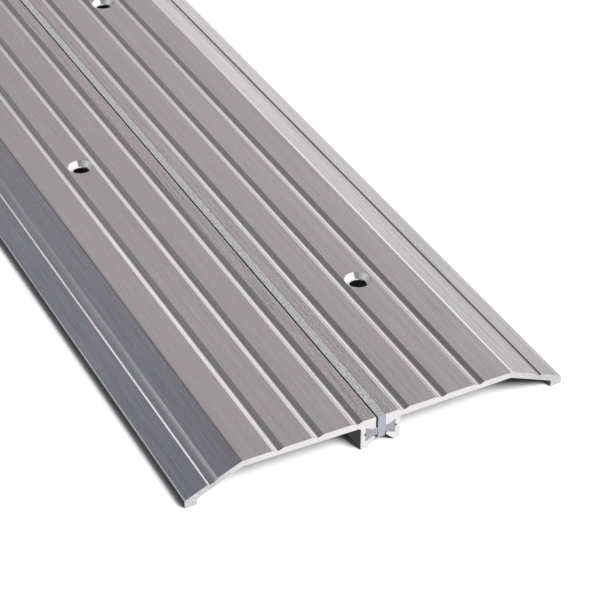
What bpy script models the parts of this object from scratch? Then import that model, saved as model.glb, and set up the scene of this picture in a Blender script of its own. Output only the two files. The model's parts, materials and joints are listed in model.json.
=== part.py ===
"""Thermally broken saddle threshold: two fluted aluminium halves locked together by a rigid vinyl strip.

Run with: blender --background --python part.py

Metres, +Z up, +Y along the strip. The origin is on the floor, under the middle of the strip.
Both halves are the same extrusion, turned round, and differ only in where their screw holes are drilled.
"""

import math

import bmesh
import bpy
from mathutils import Matrix, Vector

MM = 0.001

# Driving dimensions of the whole threshold: a nominal 36 x 6 x 1/2 inch saddle.
LENGTH = 914.4 * MM
HALF_WIDTH = 76.2 * MM
HEIGHT = 12.7 * MM

# Wall of the tread: thickest beside the channel's leg, thinnest at the bend and on down the ramp.
WALL_AT_LEG = 3.0 * MM
WALL_AT_BEND = 2.4 * MM

# Tread: flat from the middle to the bend, with shallow round-bottomed flutes that run along the strip.
BEND_X = 54.4 * MM
BEND_RADIUS = 3.5 * MM
BEND_INNER_RADIUS = 2.0 * MM
FLUTE_FIRST_X = 9.4 * MM
FLUTE_PITCH = 15.5 * MM
FLUTE_COUNT = 3
FLUTE_WIDTH = 4.3 * MM
FLUTE_DEPTH = 0.95 * MM
FLUTE_EDGE_RADIUS = 0.6 * MM
FLUTE_ROOT_RADIUS = 2.2 * MM

# Ramp: from the bend down to the nose, with one groove that a crisp edge starts and a low wall ends.
NOSE_HEIGHT = 3.3 * MM
NOSE_RADIUS = 1.1 * MM
RAMP_GROOVE_START = 9.8 * MM
RAMP_GROOVE_INNER_WALL = 1.4 * MM
RAMP_GROOVE_FLOOR = 2.2 * MM
RAMP_GROOVE_OUTER_WALL = 0.7 * MM
RAMP_GROOVE_DEPTH = 0.6 * MM
RAMP_GROOVE_INNER_RADIUS = 3.5 * MM
RAMP_GROOVE_EDGE_RADIUS = 0.15 * MM

# Foot under the nose.
FOOT_WIDTH = 4.6 * MM
FOOT_ROOT_RADIUS = 1.1 * MM

# Centre channel, a C that opens towards the vinyl strip and holds one of its dovetail arms.
INNER_FACE_X = 1.9 * MM
LEG_OUTER_X = 7.94 * MM
LEG_INNER_X = 5.95 * MM
LEG_FOOT_X = 5.7 * MM
CEILING_Z = 7.75 * MM
CEILING_FLARE_X = 3.4 * MM
CEILING_FLARE_SLOPE = 0.52
LIP_ROOT_Z = 3.1 * MM
LIP_TOP_X = 2.4 * MM
LIP_TOP_Z = 4.6 * MM
LIP_UNDER_X = 2.15 * MM
LIP_UNDER_Z = 3.65 * MM
LIP_END_RADIUS = 0.4 * MM
RELIEF_Z = 6.2 * MM
RELIEF_RADIUS = 0.6 * MM

# Vinyl strip: a bar between the halves, with a dovetail arm into each channel. It keeps one
# clearance to the metal all round, apart from a wider open slit along the bar's left side.
CLEARANCE = 0.25 * MM
BAR_WIDTH = 2.85 * MM
BAR_BOTTOM_Z = 3.1 * MM
ARM_CORNER_RADIUS = 0.35 * MM

# Countersunk screw holes, drilled between the second and third flutes of each half.
HOLE_X = 32.2 * MM
HOLE_RADIUS = 3.45 * MM
COUNTERSINK_RADIUS = 5.2 * MM
COUNTERSINK_ANGLE = math.radians(82.0)
RIGHT_END_INSET = 76.2 * MM
RIGHT_HOLE_COUNT = 4
LEFT_END_INSET = 200.0 * MM
LEFT_HOLE_COUNT = 3

# Small radii that an extrusion die leaves on corners with no radius of their own.
DIE_RADIUS = 0.25 * MM
SHARP_RADIUS = 0.15 * MM

# Fineness of the curved faces.
ARC_STEP = math.radians(8.0)
RELIEF_SIDES = 10
HOLE_SIDES = 48
CUTTER_OVERRUN = 1.0 * MM
SMOOTH_ANGLE = math.radians(30.0)

ALUMINIUM = ((0.61, 0.60, 0.60, 1.0), 0.33, 1.0)
VINYL = ((0.30, 0.31, 0.36, 1.0), 0.5, 0.0)


def clear_scene():
    """Removes every object, so that the script can be run again in the same file."""
    for item in list(bpy.data.objects):
        bpy.data.objects.remove(item, do_unlink=True)


def make_material(name, look):
    """A Principled material from (base colour, roughness, metallic)."""
    colour, roughness, metallic = look
    material = bpy.data.materials.new(name)
    material.use_nodes = True
    shader = material.node_tree.nodes["Principled BSDF"]
    shader.inputs["Base Color"].default_value = colour
    shader.inputs["Roughness"].default_value = roughness
    shader.inputs["Metallic"].default_value = metallic
    return material


def round_corner(before, corner, after, radius):
    """The arc that replaces one corner of an outline, as a list of points."""
    to_before = (before - corner).normalized()
    to_after = (after - corner).normalized()
    opening = to_before.angle(to_after)
    turn = math.pi - opening
    if radius == 0.0:
        return [corner]
    centre = corner + (to_before + to_after).normalized() * (radius / math.sin(opening / 2))
    first = corner + to_before * (radius / math.tan(opening / 2)) - centre
    steps = max(2, math.ceil(turn / ARC_STEP))
    side = 1.0 if to_before.cross(to_after) < 0 else -1.0
    return [centre + Matrix.Rotation(side * turn * step / steps, 2) @ first for step in range(steps + 1)]


def round_outline(corners):
    """A closed outline from corners given as (x, z, radius), each corner replaced by its arc."""
    points = []
    count = len(corners)
    for index, (x, z, radius) in enumerate(corners):
        before = Vector(corners[index - 1][:2])
        after = Vector(corners[(index + 1) % count][:2])
        points += round_corner(before, Vector((x, z)), after, radius)
    return points


def flute_corners(centre):
    """Corners of one flute in the flat tread: a V whose root is rounded over most of its width."""
    half = FLUTE_WIDTH / 2
    return [
        (centre - half, HEIGHT, FLUTE_EDGE_RADIUS),
        (centre, HEIGHT - FLUTE_DEPTH, FLUTE_ROOT_RADIUS),
        (centre + half, HEIGHT, FLUTE_EDGE_RADIUS),
    ]


def ramp_angle():
    """How steeply the ramp falls from the bend to the nose."""
    return math.atan2(HEIGHT - NOSE_HEIGHT, HALF_WIDTH - BEND_X)


def ramp_point(along, depth):
    """The point of the ramp at a distance along it from the bend, and a depth under its surface."""
    fall = ramp_angle()
    x = BEND_X + along * math.cos(fall) - depth * math.sin(fall)
    z = HEIGHT - along * math.sin(fall) - depth * math.cos(fall)
    return x, z


def ramp_groove_corners():
    """Corners of the ramp's groove: an inner wall that curves into the floor, and a steep outer one."""
    floor_start = RAMP_GROOVE_START + RAMP_GROOVE_INNER_WALL
    floor_end = floor_start + RAMP_GROOVE_FLOOR
    stations = [
        (RAMP_GROOVE_START, 0.0, RAMP_GROOVE_EDGE_RADIUS),
        (floor_start, RAMP_GROOVE_DEPTH, RAMP_GROOVE_INNER_RADIUS),
        (floor_end, RAMP_GROOVE_DEPTH, RAMP_GROOVE_EDGE_RADIUS),
        (floor_end + RAMP_GROOVE_OUTER_WALL, 0.0, RAMP_GROOVE_EDGE_RADIUS),
    ]
    return [(*ramp_point(along, depth), radius) for along, depth, radius in stations]


def tread_corners():
    """Top of a half, from its inner face out to the nose."""
    corners = [(INNER_FACE_X, HEIGHT, DIE_RADIUS)]
    for index in range(FLUTE_COUNT):
        corners += flute_corners(FLUTE_FIRST_X + index * FLUTE_PITCH)
    corners.append((BEND_X, HEIGHT, BEND_RADIUS))
    corners += ramp_groove_corners()
    corners.append((HALF_WIDTH, NOSE_HEIGHT, NOSE_RADIUS))
    return corners


def underside_corners():
    """Underside of a half, from the nose's foot back to the channel's leg, one wall below the top."""
    fall = ramp_angle()
    foot_inner = HALF_WIDTH - FOOT_WIDTH
    bend_inner = BEND_X - WALL_AT_BEND * math.tan(fall / 2)
    bend_underside = HEIGHT - WALL_AT_BEND
    foot_top = bend_underside - (foot_inner - bend_inner) * math.tan(fall)
    return [
        (HALF_WIDTH, 0.0, DIE_RADIUS),
        (foot_inner, 0.0, DIE_RADIUS),
        (foot_inner, foot_top, FOOT_ROOT_RADIUS),
        (bend_inner, bend_underside, BEND_INNER_RADIUS),
        (LEG_OUTER_X, HEIGHT - WALL_AT_LEG, FOOT_ROOT_RADIUS),
    ]


def ceiling_z(x):
    """Height of the pocket's sloping ceiling at a distance from the middle, outside its flat mouth."""
    return CEILING_Z + (x - CEILING_FLARE_X) * CEILING_FLARE_SLOPE


def lip_z(x):
    """Height of the top of the channel's lip at a distance from the middle."""
    slope = (LIP_TOP_Z - LIP_ROOT_Z) / (LEG_INNER_X - LIP_TOP_X)
    return LIP_TOP_Z - slope * (x - LIP_TOP_X)


def relief_corners():
    """The small half-round relief in the channel's back wall, going up."""
    arc = [math.pi * (index / RELIEF_SIDES - 0.5) for index in range(RELIEF_SIDES + 1)]
    return [
        (LEG_INNER_X + RELIEF_RADIUS * math.cos(a), RELIEF_Z + RELIEF_RADIUS * math.sin(a), 0.0)
        for a in arc
    ]


def channel_corners():
    """Leg, lip and the dovetail pocket above it, from the leg's outside round to the inner face."""
    return [
        (LEG_OUTER_X, 0.0, DIE_RADIUS),
        (LEG_FOOT_X, 0.0, DIE_RADIUS),
        (LIP_UNDER_X, LIP_UNDER_Z, LIP_END_RADIUS),
        (LIP_TOP_X, LIP_TOP_Z, LIP_END_RADIUS),
        (LEG_INNER_X, LIP_ROOT_Z, DIE_RADIUS),
        *relief_corners(),
        (LEG_INNER_X, ceiling_z(LEG_INNER_X), DIE_RADIUS),
        (CEILING_FLARE_X, CEILING_Z, DIE_RADIUS),
        (INNER_FACE_X, CEILING_Z, SHARP_RADIUS),
    ]


def half_outline(side):
    """Section of one half as (x, z) points: side is 1 for the right half and -1 for the left."""
    outline = round_outline(tread_corners() + underside_corners() + channel_corners())
    return [(side * p.x, p.y) for p in outline]


def arm_corners():
    """Corners of one dovetail arm, from the top of its neck round to the bottom."""
    end_x = LEG_INNER_X - CLEARANCE
    return [
        (CEILING_FLARE_X, CEILING_Z - CLEARANCE, DIE_RADIUS),
        (end_x, ceiling_z(end_x) - CLEARANCE, ARM_CORNER_RADIUS),
        (end_x, lip_z(end_x) + CLEARANCE, ARM_CORNER_RADIUS),
        (LIP_TOP_X, LIP_TOP_Z + CLEARANCE, DIE_RADIUS),
    ]


def bar_side_corners(x):
    """Corners down one side of the vinyl strip, for a side of the bar at x from the middle."""
    return [
        (x, HEIGHT, SHARP_RADIUS),
        (x, CEILING_Z - CLEARANCE, DIE_RADIUS),
        *arm_corners(),
        (x, LIP_TOP_Z + CLEARANCE, DIE_RADIUS),
        (x, BAR_BOTTOM_Z, DIE_RADIUS),
    ]


def vinyl_outline():
    """Section of the vinyl strip: its bar bears on the right half, and its arms follow the pockets."""
    bar_right = INNER_FACE_X - CLEARANCE
    right = bar_side_corners(bar_right)
    left = [(-x, z, radius) for x, z, radius in reversed(bar_side_corners(BAR_WIDTH - bar_right))]
    return [(p.x, p.y) for p in round_outline(right + left)]


def extrude_outline(name, outline, material):
    """A closed solid: the outline, extruded over the strip's whole length."""
    shape = bmesh.new()
    ring = [shape.verts.new((x, -LENGTH / 2, z)) for x, z in outline]
    cap = shape.faces.new(ring)
    swept = bmesh.ops.extrude_face_region(shape, geom=[cap])
    moved = [item for item in swept["geom"] if isinstance(item, bmesh.types.BMVert)]
    bmesh.ops.translate(shape, verts=moved, vec=(0.0, LENGTH, 0.0))
    bmesh.ops.recalc_face_normals(shape, faces=shape.faces)
    return finish_mesh(name, shape, material)


def finish_mesh(name, shape, material=None):
    """Writes a bmesh to a new, smoothly shaded object."""
    mesh = bpy.data.meshes.new(name)
    shape.to_mesh(mesh)
    shape.free()
    mesh.shade_smooth()
    mesh.set_sharp_from_angle(angle=SMOOTH_ANGLE)
    item = bpy.data.objects.new(name, mesh)
    bpy.context.collection.objects.link(item)
    if material:
        mesh.materials.append(material)
    return item


def add_turned_cutter(shape, x, y):
    """Adds one countersink drill to a bmesh: a cone on a cylinder, longer than the wall both ways."""
    flank = math.tan(COUNTERSINK_ANGLE / 2)
    top = HEIGHT + CUTTER_OVERRUN
    profile = [
        (HOLE_RADIUS, HEIGHT - WALL_AT_LEG - CUTTER_OVERRUN),
        (HOLE_RADIUS, HEIGHT - (COUNTERSINK_RADIUS - HOLE_RADIUS) / flank),
        (COUNTERSINK_RADIUS + CUTTER_OVERRUN * flank, top),
    ]
    rings = []
    for radius, z in profile:
        ring = []
        for index in range(HOLE_SIDES):
            angle = 2 * math.pi * index / HOLE_SIDES
            ring.append(shape.verts.new((x + radius * math.cos(angle), y + radius * math.sin(angle), z)))
        rings.append(ring)
    for lower, upper in zip(rings, rings[1:]):
        for index in range(HOLE_SIDES):
            after = (index + 1) % HOLE_SIDES
            shape.faces.new((lower[index], lower[after], upper[after], upper[index]))
    shape.faces.new(list(reversed(rings[0])))
    shape.faces.new(rings[-1])


def hole_stations(end_inset, count):
    """Places of a row of evenly spaced holes along the strip, the same distance from both ends."""
    first = -LENGTH / 2 + end_inset
    pitch = (LENGTH - 2 * end_inset) / (count - 1)
    return [first + index * pitch for index in range(count)]


def drill(half, x, stations):
    """Cuts a row of countersunk holes through a half."""
    shape = bmesh.new()
    for y in stations:
        add_turned_cutter(shape, x, y)
    cutter = finish_mesh(half.name + "_drill", shape)
    cutter.hide_render = True
    cutter.display_type = "WIRE"
    cut = half.modifiers.new("screw_holes", "BOOLEAN")
    cut.operation = "DIFFERENCE"
    cut.solver = "EXACT"
    cut.object = cutter


def build():
    """Makes the three pieces."""
    clear_scene()
    aluminium = make_material("mill_aluminium", ALUMINIUM)
    vinyl = make_material("rigid_vinyl", VINYL)

    right = extrude_outline("right_tread_half", half_outline(1), aluminium)
    drill(right, HOLE_X, hole_stations(RIGHT_END_INSET, RIGHT_HOLE_COUNT))

    left = extrude_outline("left_tread_half", half_outline(-1), aluminium)
    drill(left, -HOLE_X, hole_stations(LEFT_END_INSET, LEFT_HOLE_COUNT))

    extrude_outline("thermal_break_strip", vinyl_outline(), vinyl)


build()
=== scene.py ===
"""Looks of the thermal break saddle threshold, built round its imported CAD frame.

Each CAD part is stood for by a finer piece on the same section. The saw-cut ends have broken edges, the
screw holes are turned countersinks with a small lip, and the vinyl sits close in its channels, as crimping
leaves it. The aluminium skin, the cut ends, the countersinks and the vinyl each have their own finish.
"""

import json
import math

import bmesh
import bpy
from mathutils import Matrix, Vector


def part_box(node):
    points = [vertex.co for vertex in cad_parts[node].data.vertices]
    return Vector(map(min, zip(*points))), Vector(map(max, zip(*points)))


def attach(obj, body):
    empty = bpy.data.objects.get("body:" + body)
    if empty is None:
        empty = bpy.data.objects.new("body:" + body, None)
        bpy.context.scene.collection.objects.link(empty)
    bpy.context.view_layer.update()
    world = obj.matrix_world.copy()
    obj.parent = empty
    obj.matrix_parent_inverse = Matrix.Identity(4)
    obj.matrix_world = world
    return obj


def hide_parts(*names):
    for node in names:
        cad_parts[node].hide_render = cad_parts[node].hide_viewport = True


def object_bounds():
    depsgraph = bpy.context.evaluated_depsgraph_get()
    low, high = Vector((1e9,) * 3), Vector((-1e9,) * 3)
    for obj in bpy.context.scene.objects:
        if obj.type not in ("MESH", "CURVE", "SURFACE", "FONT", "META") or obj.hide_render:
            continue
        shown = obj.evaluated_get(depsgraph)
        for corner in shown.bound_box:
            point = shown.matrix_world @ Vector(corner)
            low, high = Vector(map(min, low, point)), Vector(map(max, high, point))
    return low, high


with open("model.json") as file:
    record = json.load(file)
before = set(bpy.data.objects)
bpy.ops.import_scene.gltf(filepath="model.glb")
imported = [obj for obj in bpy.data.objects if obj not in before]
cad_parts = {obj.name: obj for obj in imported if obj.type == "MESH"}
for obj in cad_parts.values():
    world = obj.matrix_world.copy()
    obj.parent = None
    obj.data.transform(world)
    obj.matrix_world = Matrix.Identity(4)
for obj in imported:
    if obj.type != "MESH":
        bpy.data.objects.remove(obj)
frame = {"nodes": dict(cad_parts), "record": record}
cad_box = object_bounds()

MM = 0.001
SAME = 0.002 * MM
SMOOTH_ANGLE = math.radians(40.0)
FLAT_FACE_WEIGHT = 100

# Finer shape than the CAD has: the rounding of the cut ends, and how closely the vinyl fits.
METAL_END_BREAK = 0.11 * MM
VINYL_END_BREAK = 0.08 * MM
END_BREAK_STEPS = 2
VINYL_GROWTH = 0.2 * MM
BAR_TOP_BAND = 1.0 * MM

# Aluminium: pairs of tints that its marks run between, then the saw's marks and the greyer outer ends by the
# noses.
SKIN_TINTS = [(0.638, 0.592, 0.608, 1.0), (0.602, 0.607, 0.604, 1.0)]
COUNTERSINK_TINTS = [(0.80, 0.79, 0.79, 1.0), (0.92, 0.91, 0.91, 1.0)]
SAW_CUT_TINTS = [(0.72, 0.695, 0.705, 1.0), (0.65, 0.645, 0.64, 1.0)]
SAW_MARK_TINT = (0.48, 0.455, 0.465, 1.0)
OUTER_END_TINT = (0.40, 0.40, 0.39, 1.0)

# Vinyl: the grain's two tints and the drawn lines' on top. On the cut end two tints of the bar, two of the
# arms, and the speckle's.
VINYL_TINTS = [(0.16, 0.162, 0.163, 1.0), (0.46, 0.46, 0.465, 1.0)]
DRAWN_LINE_TINT = (0.35, 0.345, 0.355, 1.0)
BAR_CUT_TINTS = [(0.225, 0.228, 0.285, 1.0), (0.285, 0.29, 0.345, 1.0)]
ARM_CUT_TINTS = [(0.15, 0.155, 0.16, 1.0), (0.26, 0.265, 0.275, 1.0)]
SPECKLE_TINT = (0.25, 0.255, 0.30, 1.0)

# Distances from the middle: how far the vinyl bar and the brushed strips beside it reach, where the ramps
# start, and where the saw-cut end starts and finishes turning greyer towards the noses.
BAR_REACH = 1.8 * MM
SEAM_REACH = 7.6 * MM
RAMP_START = 54.4 * MM
GREY_END_START = 42.0 * MM
GREY_END_FULL = 68.0 * MM

# Countersinks: an 82 degree cone whose outer edge is broken.
COUNTERSINK_ANGLE = math.radians(82.0)
LIP_WIDTH = 0.16 * MM
LIP_DROP = 0.07 * MM
HOLE_REACH = 8.0 * MM
HOLE_SIDES = 72
CUTTER_OVERRUN = 1.0 * MM

# Camera, placed from the middle of the near end's foot.
CAMERA_AZIMUTH = math.radians(-27.135)
CAMERA_ELEVATION = math.radians(35.90)
CAMERA_ROLL = math.radians(0.1)
CAMERA_LENS = 122.64
CAMERA_FROM_NEAR_END = Vector((-0.2767, -0.4734, 0.4613))

# Studio: a wide pale floor under a soft light from the front right, in a room lit unevenly from side to side.
FLOOR_SIZE = 30.0
FLOOR_ALBEDO = (0.90, 0.90, 0.90, 1.0)
KEY_STRENGTH = 4.9
KEY_SOFTNESS = math.radians(28.0)
KEY_AZIMUTH = math.radians(150.0)
KEY_ELEVATION = math.radians(41.0)
BACKDROP_COLOUR = (1.0, 1.0, 1.0, 1.0)
BLACK = (0.0, 0.0, 0.0, 1.0)
ROOM_STRENGTH = 1.2
# Share of the room's light that diffuse surfaces take, and that is left after a diffuse bounce.
ROOM_FILL = 0.65
ROOM_BOUNCE = 0.06
# Fades in the room, each from one part of a ray's direction to another: up from the horizon, to the side
# that is lit below it too, back from the camera, and the glow ahead.
HORIZON_FADE = (-0.15, 0.0)
LIT_SIDE_FADE = (0.3, 0.5)
BEHIND_FADE = (-0.2, -0.05)
AHEAD_FADE = (0.65, 0.78)
AHEAD_GLOW = (0.97, 1.07)
BELOW_COLOUR = (0.07, 0.07, 0.075, 1.0)
BEHIND_COLOUR = (0.22, 0.22, 0.225, 1.0)
# The room's light across it: how far a ray leans to +X, and the colour that it meets there.
ROOM_STRIPS = [
    (-0.60, (0.37, 0.375, 0.395, 1.0)),
    (-0.36, (0.20, 0.21, 0.24, 1.0)),
    (-0.26, (0.142, 0.160, 0.196, 1.0)),
    (-0.16, (0.188, 0.177, 0.180, 1.0)),
    (-0.04, (0.114, 0.108, 0.107, 1.0)),
    (0.06, (0.109, 0.103, 0.102, 1.0)),
    (0.18, (0.41, 0.385, 0.393, 1.0)),
    (0.37, (0.47, 0.446, 0.455, 1.0)),
    (0.45, (0.40, 0.382, 0.386, 1.0)),
    (0.50, (0.42, 0.40, 0.405, 1.0)),
    (0.57, (0.66, 0.645, 0.65, 1.0)),
    (0.72, (0.46, 0.453, 0.455, 1.0)),
]
# Panels of the room: azimuth from +Y towards +X, elevation, inner and outer half angles, colour.
PANELS = {
    "ahead": (43.0, 21.0, 2.0, 15.0, (0.85, 0.84, 0.84, 1.0)),
    "side": (95.0, 14.0, 27.0, 31.0, (0.88, 0.87, 0.87, 1.0)),
    "front_right": (138.0, 36.0, 19.0, 25.0, (0.88, 0.87, 0.87, 1.0)),
    "side_low": (52.0, -19.0, 15.0, 21.0, (0.88, 0.87, 0.87, 1.0)),
    "left_side": (-48.0, 3.0, 5.0, 16.0, (0.48, 0.49, 0.51, 1.0)),
    "left_far": (-15.0, 32.0, 4.0, 17.0, (0.105, 0.105, 0.115, 1.0)),
    "front_low": (152.8, -36.0, 20.0, 60.0, (0.55, 0.53, 0.54, 1.0)),
    "front_left": (262.0, 42.0, 22.0, 40.0, (0.18, 0.177, 0.185, 1.0)),
}


# ---- Sections and meshes ----

def end_outline(node):
    """The node's section: the outline of its near end face, as 2-D points (x, z) in order."""
    mesh = bmesh.new()
    mesh.from_mesh(frame["nodes"][node].data)
    bmesh.ops.remove_doubles(mesh, verts=mesh.verts, dist=SAME)
    near_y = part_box(node)[0].y
    cap = {f for f in mesh.faces if all(abs(v.co.y - near_y) < SAME for v in f.verts)}
    rim = {e for f in cap for e in f.edges if sum(g in cap for g in e.link_faces) == 1}
    vertex = next(iter(sorted(rim, key=lambda e: e.index))).verts[0]
    points = []
    while rim:
        edge = next(e for e in vertex.link_edges if e in rim)
        rim.remove(edge)
        points.append(Vector((vertex.co.x, vertex.co.z)))
        vertex = edge.other_vert(vertex)
    mesh.free()
    if signed_area(points) < 0:
        points.reverse()
    return points


def signed_area(points):
    """Area inside an outline, positive if it runs anticlockwise."""
    pairs = zip(points, points[1:] + points[:1])
    return sum(a.x * b.y - b.x * a.y for a, b in pairs) / 2


def outward_offset(points, distance):
    """The outline moved outwards by a distance, or inwards by a negative one."""
    moved = []
    for before, point, after in zip(points[-1:] + points[:-1], points, points[1:] + points[:1]):
        first = (point - before).normalized()
        second = (after - point).normalized()
        normal = Vector((first.y + second.y, -first.x - second.x)).normalized()
        half_turn = max(0.5, normal.dot(Vector((first.y, -first.x))))
        moved.append(point + normal * distance / half_turn)
    return moved


def close_fit(points):
    """The vinyl's section grown to sit close in its channels. The slit on the bar's left side stays open."""
    top = max(p.y for p in points)
    bottom = min(p.y for p in points)
    bar_left = min(p.x for p in points if top - p.y < BAR_TOP_BAND)
    grown = outward_offset(points, VINYL_GROWTH)
    for point, moved in zip(points, grown):
        if abs(point.x - bar_left) < SAME:
            moved.x = bar_left
        moved.y = min(max(moved.y, bottom), top)
    return grown


def end_rings(near_y, far_y, edge_break):
    """(y, inset) of each ring of an extrusion whose end edges are rounded."""
    near = []
    for step in range(END_BREAK_STEPS + 1):
        angle = step / END_BREAK_STEPS * math.pi / 2
        near.append((edge_break * (1 - math.cos(angle)), edge_break * (1 - math.sin(angle))))
    rings = [(near_y + depth, inset) for depth, inset in near]
    return rings + [(far_y - depth, inset) for depth, inset in reversed(near)]


def extrude_section(points, near_y, far_y, edge_break):
    """A closed mesh of the section along Y. Faces of the two ends have material index 1."""
    mesh = bmesh.new()
    rings = []
    for y, inset in end_rings(near_y, far_y, edge_break):
        ring = outward_offset(points, -inset)
        rings.append([mesh.verts.new((p.x, y, p.y)) for p in ring])
    skin = END_BREAK_STEPS
    for index, (ring, following) in enumerate(zip(rings, rings[1:])):
        for k in range(len(points)):
            n = (k + 1) % len(points)
            face = mesh.faces.new((ring[k], ring[n], following[n], following[k]))
            face.material_index = 0 if index == skin else 1
    for ring in (rings[0], rings[-1]):
        mesh.faces.new(ring).material_index = 1
    bmesh.ops.recalc_face_normals(mesh, faces=mesh.faces)
    return mesh


def make_piece(name, mesh, materials):
    """A shown object from a bmesh, which it frees."""
    data = bpy.data.meshes.new(name)
    mesh.to_mesh(data)
    mesh.free()
    piece = bpy.data.objects.new(name, data)
    bpy.context.scene.collection.objects.link(piece)
    for material in materials:
        data.materials.append(material)
    return piece


def shade(piece):
    """Smooth shading that keeps wide flats flat, with edges above the smooth angle left sharp."""
    mesh = bmesh.new()
    mesh.from_mesh(piece.data)
    for face in mesh.faces:
        face.smooth = True
    for edge in mesh.edges:
        edge.smooth = len(edge.link_faces) == 2 and edge.calc_face_angle() < SMOOTH_ANGLE
    mesh.to_mesh(piece.data)
    mesh.free()
    modifier = piece.modifiers.new("flat_flats", "WEIGHTED_NORMAL")
    modifier.keep_sharp = True
    modifier.weight = FLAT_FACE_WEIGHT


def hole_radii(node, centre):
    """Smallest and largest radius of the screw hole at a centre, from the CAD node's own vertices."""
    vertices = frame["nodes"][node].data.vertices
    spans = [(v.co.xy - centre).length for v in vertices]
    near = [span for span in spans if span < HOLE_REACH]
    return min(near), max(near)


def cutter_profile(hole_radius, rim_radius, top, underside):
    """(radius, z) points of a countersink's cutter, from above the tread to below its underside."""
    cone_depth = (rim_radius - hole_radius) / math.tan(COUNTERSINK_ANGLE / 2)
    lip_drop_radius = rim_radius - LIP_DROP * math.tan(COUNTERSINK_ANGLE / 2)
    return [
        (rim_radius + LIP_WIDTH, top + CUTTER_OVERRUN),
        (rim_radius + LIP_WIDTH, top),
        (lip_drop_radius, top - LIP_DROP),
        (hole_radius, top - cone_depth),
        (hole_radius, underside - CUTTER_OVERRUN),
    ]


def turned_mesh(profile, centre):
    """A closed mesh of a profile turned round the vertical line through a centre."""
    mesh = bmesh.new()
    rings = []
    for radius, z in profile:
        ring = []
        for side in range(HOLE_SIDES):
            angle = side / HOLE_SIDES * math.tau
            x = centre.x + radius * math.cos(angle)
            y = centre.y + radius * math.sin(angle)
            ring.append(mesh.verts.new((x, y, z)))
        rings.append(ring)
    for ring, following in zip(rings, rings[1:]):
        for k in range(HOLE_SIDES):
            n = (k + 1) % HOLE_SIDES
            mesh.faces.new((ring[k], ring[n], following[n], following[k]))
    mesh.faces.new(rings[0])
    mesh.faces.new(rings[-1])
    bmesh.ops.recalc_face_normals(mesh, faces=mesh.faces)
    return mesh


def cut_countersinks(piece, node, centres, material):
    """Cuts the node's screw holes through a piece."""
    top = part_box(node)[1].z
    for centre in centres:
        hole_radius, rim_radius = hole_radii(node, centre)
        wall = tread_underside(node, centre)
        profile = cutter_profile(hole_radius, rim_radius, top, wall)
        cutter = make_piece("cutter", turned_mesh(profile, centre), [material])
        modifier = piece.modifiers.new("screw_hole", "BOOLEAN")
        modifier.operation = "DIFFERENCE"
        modifier.solver = "EXACT"
        modifier.material_mode = "TRANSFER"
        modifier.object = cutter
        depsgraph = bpy.context.evaluated_depsgraph_get()
        cut = bpy.data.meshes.new_from_object(piece.evaluated_get(depsgraph))
        piece.modifiers.remove(modifier)
        piece.data = cut
        bpy.data.objects.remove(cutter)


def tread_underside(node, centre):
    """Height of the tread's underside at a screw hole: the lowest CAD vertex of the hole's wall."""
    vertices = frame["nodes"][node].data.vertices
    return min(v.co.z for v in vertices if (v.co.xy - centre).length < HOLE_REACH)


def screw_hole_centres(side):
    """Centres of one half's screw holes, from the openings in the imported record."""
    centres = []
    for opening in frame["record"]["physics"]["openings"]:
        if opening["name"].startswith(side):
            low, high = (Vector(corner) for corner in opening["box_m"])
            centres.append(((low + high) / 2).xy)
    return centres


# ---- Materials ----

def add_node(tree, kind, **inputs):
    """A shader node. Each keyword is an input's name, with a number, a colour or another node's output."""
    node = tree.nodes.new("ShaderNode" + kind)
    for name, value in inputs.items():
        connect(tree, value, node.inputs[name.replace("_", " ")])
    return node


def connect(tree, value, socket):
    """Links an output to a socket, or sets the socket to a value."""
    if isinstance(value, bpy.types.NodeSocket):
        tree.links.new(value, socket)
    else:
        socket.default_value = value


def calculate(tree, operation, first, second=0.0, third=0.0):
    """A Math node's output."""
    node = tree.nodes.new("ShaderNodeMath")
    node.operation = operation
    for value, socket in zip((first, second, third), node.inputs):
        connect(tree, value, socket)
    return node.outputs[0]


def remap(tree, value, low, high):
    """A 0 to 1 value spread over a new range."""
    return calculate(tree, "MULTIPLY_ADD", value, high - low, low)


def fade_between(tree, value, low, high):
    """0 below a value and 1 above another, with a soft change between them."""
    fade = tree.nodes.new("ShaderNodeMapRange")
    fade.interpolation_type = "SMOOTHSTEP"
    connect(tree, value, fade.inputs["Value"])
    fade.inputs["From Min"].default_value = low
    fade.inputs["From Max"].default_value = high
    return fade.outputs[0]


def blend_colours(tree, factor, first, second, mode="MIX"):
    """A colour between two."""
    node = tree.nodes.new("ShaderNodeMix")
    node.data_type = "RGBA"
    node.blend_type = mode
    connect(tree, factor, node.inputs[0])
    connect(tree, first, node.inputs[6])
    connect(tree, second, node.inputs[7])
    return node.outputs[2]


def marks(tree, size, detail=2.0, contrast=1.0):
    """Noise in the row frame whose marks are about this size (x, y, z), as a value from 0 to 1."""
    place = add_node(tree, "TexCoord").outputs["Object"]
    scaled = add_node(tree, "Mapping", Vector=place, Scale=tuple(1 / s for s in size))
    noise = add_node(tree, "TexNoise", Vector=scaled.outputs[0], Scale=1.0, Detail=detail, Roughness=0.55)
    spread = calculate(tree, "SUBTRACT", noise.outputs[0], 0.5)
    centred = calculate(tree, "MULTIPLY_ADD", spread, contrast, 0.5)
    return calculate(tree, "MINIMUM", calculate(tree, "MAXIMUM", centred, 0.0), 1.0)


def start_material(name):
    """A material with only a Principled BSDF and its output: (material, node tree, shader)."""
    material = bpy.data.materials.new(name)
    material.use_nodes = True
    tree = material.node_tree
    return material, tree, tree.nodes["Principled BSDF"]


def from_middle(tree):
    """Distance of a point from the strip's middle, across it."""
    place = add_node(tree, "TexCoord").outputs["Object"]
    x = add_node(tree, "SeparateXYZ", Vector=place).outputs[0]
    return calculate(tree, "ABSOLUTE", x)


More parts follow.
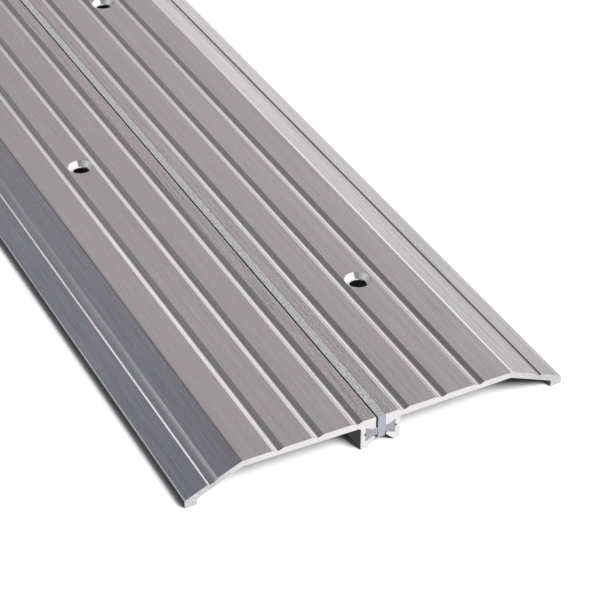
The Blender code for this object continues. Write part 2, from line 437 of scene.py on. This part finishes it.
def near_seam(tree):
    """1 on the strips beside the vinyl, where rolling the channels shut has left a finer brushed finish."""
    return calculate(tree, "LESS_THAN", from_middle(tree), SEAM_REACH)


def strength(tree, on_ramp, at_seam):
    """How strongly a kind of mark shows: 1 on the treads, with more on the ramps and at the seam."""
    ramp = calculate(tree, "GREATER_THAN", from_middle(tree), RAMP_START)
    raised = calculate(tree, "MULTIPLY_ADD", ramp, on_ramp, 1.0)
    return calculate(tree, "MULTIPLY_ADD", near_seam(tree), at_seam, raised)


def extruded_skin():
    """Mill finish aluminium: fine die lines along the strip, faint mottle and uneven gloss."""
    material, tree, shader = start_material("mill_finish_skin")
    fine = marks(tree, (0.4 * MM, 30 * MM, 0.4 * MM), detail=2.0, contrast=1.8)
    coarse = marks(tree, (1.5 * MM, 160 * MM, 1.5 * MM), detail=3.0, contrast=1.8)
    grain = marks(tree, (0.6 * MM, 0.9 * MM, 0.6 * MM), detail=2.0, contrast=1.6)
    mottle = marks(tree, (7 * MM, 11 * MM, 7 * MM), detail=1.0, contrast=2.4)
    cloud = marks(tree, (14 * MM, 50 * MM, 14 * MM), detail=2.0, contrast=2.0)

    tint = blend_colours(tree, mottle, *SKIN_TINTS)
    tone = remap(tree, coarse, 0.92, 1.05)
    tone = calculate(tree, "MULTIPLY_ADD", remap(tree, fine, -0.06, 0.06), strength(tree, 1.7, 2.9), tone)
    tone = calculate(tree, "MULTIPLY_ADD", remap(tree, grain, -0.08, 0.08), strength(tree, 0.4, 2.9), tone)
    grey = add_node(tree, "CombineColor", Red=tone, Green=tone, Blue=tone).outputs[0]
    connect(tree, blend_colours(tree, 1.0, tint, grey, "MULTIPLY"), shader.inputs["Base Color"])

    gloss = calculate(tree, "ADD", remap(tree, cloud, -0.04, 0.04), remap(tree, coarse, 0.20, 0.27))
    connect(tree, gloss, shader.inputs["Roughness"])
    shader.inputs["Metallic"].default_value = 1.0
    shader.inputs["Anisotropic"].default_value = 0.3

    brushed = remap(tree, near_seam(tree), 1.0, 2.2)
    height = calculate(tree, "MULTIPLY", fine, brushed)
    height = calculate(tree, "MULTIPLY_ADD", coarse, 0.8, height)
    height = calculate(tree, "MULTIPLY_ADD", grain, 0.35, height)
    bump = add_node(tree, "Bump", Height=height, Distance=0.0045 * MM, Strength=1.0)
    connect(tree, bump.outputs[0], shader.inputs["Normal"])
    return material


def saw_cut_end():
    """Fresh saw-cut aluminium: bright and matt, with fine level blade marks, greyer out at the noses."""
    material, tree, shader = start_material("saw_cut_end")
    blade = marks(tree, (9 * MM, 1 * MM, 0.32 * MM), detail=2.0, contrast=1.8)
    patch = marks(tree, (4 * MM, 1 * MM, 1.6 * MM), detail=1.0, contrast=1.6)
    tint = blend_colours(tree, patch, *SAW_CUT_TINTS)
    marked = blend_colours(tree, remap(tree, blade, 0.0, 0.45), tint, SAW_MARK_TINT)
    # The cut end turns greyer from the middle out to the noses, by distance from the middle alone, with a
    # speckle in it.
    toward_noses = fade_between(tree, from_middle(tree), GREY_END_START, GREY_END_FULL)
    pits = remap(tree, marks(tree, (0.7 * MM, 1 * MM, 0.7 * MM), contrast=3.0), 0.2, 1.0)
    greyed_outer = blend_colours(tree, calculate(tree, "MULTIPLY", toward_noses, pits), marked, OUTER_END_TINT)
    connect(tree, greyed_outer, shader.inputs["Base Color"])
    connect(tree, remap(tree, blade, 0.48, 0.62), shader.inputs["Roughness"])
    shader.inputs["Metallic"].default_value = 0.45
    bump = add_node(tree, "Bump", Height=blade, Distance=0.008 * MM, Strength=1.0)
    connect(tree, bump.outputs[0], shader.inputs["Normal"])
    return material


def turned_countersink():
    """Drilled aluminium: bright, with the drill's rings round the hole."""
    material, tree, shader = start_material("turned_countersink")
    rings = marks(tree, (60 * MM, 60 * MM, 0.12 * MM), detail=2.0, contrast=1.8)
    tint = blend_colours(tree, rings, *COUNTERSINK_TINTS)
    connect(tree, tint, shader.inputs["Base Color"])
    connect(tree, remap(tree, rings, 0.16, 0.26), shader.inputs["Roughness"])
    shader.inputs["Metallic"].default_value = 1.0
    bump = add_node(tree, "Bump", Height=rings, Distance=0.003 * MM, Strength=1.0)
    connect(tree, bump.outputs[0], shader.inputs["Normal"])
    return material


def vinyl_skin():
    """Rigid grey vinyl: matt, lightly grained, with faint drawn lines."""
    material, tree, shader = start_material("rigid_vinyl_skin")
    drawn = marks(tree, (0.35 * MM, 30 * MM, 0.35 * MM), detail=2.0, contrast=1.6)
    grain = marks(tree, (0.6 * MM, 0.8 * MM, 0.6 * MM), detail=2.0, contrast=3.0)
    tint = blend_colours(tree, grain, *VINYL_TINTS)
    toned = blend_colours(tree, remap(tree, drawn, 0.0, 0.3), tint, DRAWN_LINE_TINT)
    connect(tree, toned, shader.inputs["Base Color"])
    connect(tree, remap(tree, grain, 0.42, 0.58), shader.inputs["Roughness"])
    height = calculate(tree, "MULTIPLY_ADD", grain, 0.6, drawn)
    bump = add_node(tree, "Bump", Height=height, Distance=0.01 * MM, Strength=1.0)
    connect(tree, bump.outputs[0], shader.inputs["Normal"])
    return material


def vinyl_cut():
    """Sawn vinyl: the bar's end is paler and slightly lilac where the blade has frosted it."""
    material, tree, shader = start_material("rigid_vinyl_cut")
    blade = marks(tree, (5 * MM, 1 * MM, 0.4 * MM), detail=2.0, contrast=1.6)
    grain = marks(tree, (0.4 * MM, 0.4 * MM, 0.4 * MM), detail=2.0, contrast=1.4)
    tint = blend_colours(tree, blade, *BAR_CUT_TINTS)
    arm_tint = blend_colours(tree, blade, *ARM_CUT_TINTS)
    tint = blend_colours(tree, calculate(tree, "LESS_THAN", from_middle(tree), BAR_REACH), arm_tint, tint)
    speckled = blend_colours(tree, remap(tree, grain, 0.0, 0.35), tint, SPECKLE_TINT)
    connect(tree, speckled, shader.inputs["Base Color"])
    connect(tree, remap(tree, grain, 0.55, 0.7), shader.inputs["Roughness"])
    bump = add_node(tree, "Bump", Height=blade, Distance=0.01 * MM, Strength=1.0)
    connect(tree, bump.outputs[0], shader.inputs["Normal"])
    return material


# ---- Pieces ----

def build_half(side, materials):
    """One aluminium half: the extrusion with its countersunk screw holes."""
    node = side + "_tread_half"
    low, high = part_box(node)
    mesh = extrude_section(end_outline(node), low.y, high.y, METAL_END_BREAK)
    piece = make_piece(side + "_extrusion", mesh, materials)
    cut_countersinks(piece, node, screw_hole_centres(side), materials[-1])
    shade(piece)
    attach(piece, "root")
    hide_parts(node)


def build_vinyl(materials):
    """The vinyl strip between the halves."""
    node = "thermal_break_strip"
    low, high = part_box(node)
    mesh = extrude_section(close_fit(end_outline(node)), low.y, high.y, VINYL_END_BREAK)
    piece = make_piece("vinyl_strip", mesh, materials)
    shade(piece)
    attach(piece, "root")
    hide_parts(node)


# ---- Studio ----

def direction(azimuth, elevation):
    """Unit vector towards an azimuth, from +Y towards +X, and an elevation."""
    level = math.cos(elevation)
    return Vector((math.sin(azimuth) * level, math.cos(azimuth) * level, math.sin(elevation)))


def build_floor():
    """The pale floor. The metal doesn't mirror it."""
    reach = FLOOR_SIZE / 2
    corners = [(-reach, -reach, 0), (reach, -reach, 0), (reach, reach, 0), (-reach, reach, 0)]
    data = bpy.data.meshes.new("floor")
    data.from_pydata(corners, [], [(0, 1, 2, 3)])
    material, _, shader = start_material("floor")
    shader.inputs["Base Color"].default_value = FLOOR_ALBEDO
    shader.inputs["Roughness"].default_value = 0.95
    shader.inputs["Specular IOR Level"].default_value = 0.0
    data.materials.append(material)
    floor = bpy.data.objects.new("floor", data)
    floor.visible_glossy = False
    bpy.context.scene.collection.objects.link(floor)


def build_key_light():
    """A broad soft light from the front, which lights the floor, the cut ends and the vinyl."""
    light = bpy.data.lights.new("key", "SUN")
    light.energy = KEY_STRENGTH
    light.angle = KEY_SOFTNESS
    lamp = bpy.data.objects.new("key", light)
    towards = direction(KEY_AZIMUTH, KEY_ELEVATION)
    lamp.rotation_euler = towards.to_track_quat("Z", "Y").to_euler()
    lamp.visible_glossy = False
    bpy.context.scene.collection.objects.link(lamp)


def panel_light(tree, ray, azimuth, elevation, inner, outer, colour):
    """Colour of one soft panel of the studio as seen along a ray."""
    dot = tree.nodes.new("ShaderNodeVectorMath")
    dot.operation = "DOT_PRODUCT"
    connect(tree, ray, dot.inputs[0])
    dot.inputs[1].default_value = direction(math.radians(azimuth), math.radians(elevation))
    edge = math.cos(math.radians(outer))
    core = math.cos(math.radians(inner))
    return blend_colours(tree, fade_between(tree, dot.outputs["Value"], edge, core), BLACK, colour)


def room_strips(tree, lean):
    """The room's light from side to side, for how far the ray leans to +X (-1 to 1)."""
    ramp = tree.nodes.new("ShaderNodeValToRGB")
    connect(tree, remap(tree, lean, 0.5, 1.0), ramp.inputs["Fac"])
    stops = ramp.color_ramp.elements
    while len(stops) < len(ROOM_STRIPS):
        stops.new(1.0)
    for stop, (place, colour) in zip(stops, ROOM_STRIPS):
        stop.position = (place + 1) / 2
        stop.color = colour
    return ramp.outputs["Color"]


def build_studio():
    """The room that the metal mirrors. The camera itself sees it white."""
    world = bpy.data.worlds.new("studio")
    bpy.context.scene.world = world
    world.use_nodes = True
    tree = world.node_tree
    ray = add_node(tree, "TexCoord").outputs["Generated"]
    lean, ahead, height = add_node(tree, "SeparateXYZ", Vector=ray).outputs
    above = fade_between(tree, height, *HORIZON_FADE)
    lit = calculate(tree, "MAXIMUM", above, fade_between(tree, lean, *LIT_SIDE_FADE))
    light = blend_colours(tree, lit, BELOW_COLOUR, room_strips(tree, lean))
    behind = calculate(tree, "SUBTRACT", 1.0, fade_between(tree, ahead, *BEHIND_FADE))
    light = blend_colours(tree, behind, light, BEHIND_COLOUR)
    for panel in PANELS.values():
        light = blend_colours(tree, 1.0, light, panel_light(tree, ray, *panel), "ADD")
    path = add_node(tree, "LightPath")
    fill = remap(tree, path.outputs["Is Diffuse Ray"], ROOM_BOUNCE, ROOM_FILL)
    bounced = calculate(tree, "MINIMUM", path.outputs["Diffuse Depth"], 1.0)
    filled = blend_colours(tree, bounced, light, blend_colours(tree, fill, BLACK, light))
    background = tree.nodes["Background"]
    seen = blend_colours(tree, path.outputs["Is Camera Ray"], filled, BACKDROP_COLOUR)
    connect(tree, seen, background.inputs["Color"])
    glow = remap(tree, fade_between(tree, ahead, *AHEAD_FADE), *AHEAD_GLOW)
    connect(tree, calculate(tree, "MULTIPLY", glow, ROOM_STRENGTH), background.inputs["Strength"])


def build_camera():
    """The camera, at the photograph's angle on the near end."""
    data = bpy.data.cameras.new("camera")
    data.lens = CAMERA_LENS
    data.clip_start = 0.01
    data.clip_end = 100.0
    camera = bpy.data.objects.new("camera", data)
    bpy.context.scene.collection.objects.link(camera)
    back = Vector((
        math.sin(CAMERA_AZIMUTH) * math.cos(CAMERA_ELEVATION),
        -math.cos(CAMERA_AZIMUTH) * math.cos(CAMERA_ELEVATION),
        math.sin(CAMERA_ELEVATION),
    ))
    near_end = Vector((0.0, cad_box[0].y, 0.0))
    turn = back.to_track_quat("Z", "Y").to_matrix().to_4x4() @ Matrix.Rotation(CAMERA_ROLL, 4, "Z")
    camera.matrix_world = Matrix.Translation(near_end + CAMERA_FROM_NEAR_END) @ turn
    bpy.context.scene.camera = camera


def build():
    """Everything in the scene."""
    metal = [extruded_skin(), saw_cut_end(), turned_countersink()]
    build_half("left", metal)
    build_half("right", metal)
    build_vinyl([vinyl_skin(), vinyl_cut()])
    build_floor()
    build_key_light()
    build_studio()
    build_camera()
    bpy.context.scene.view_settings.view_transform = "Standard"


build()
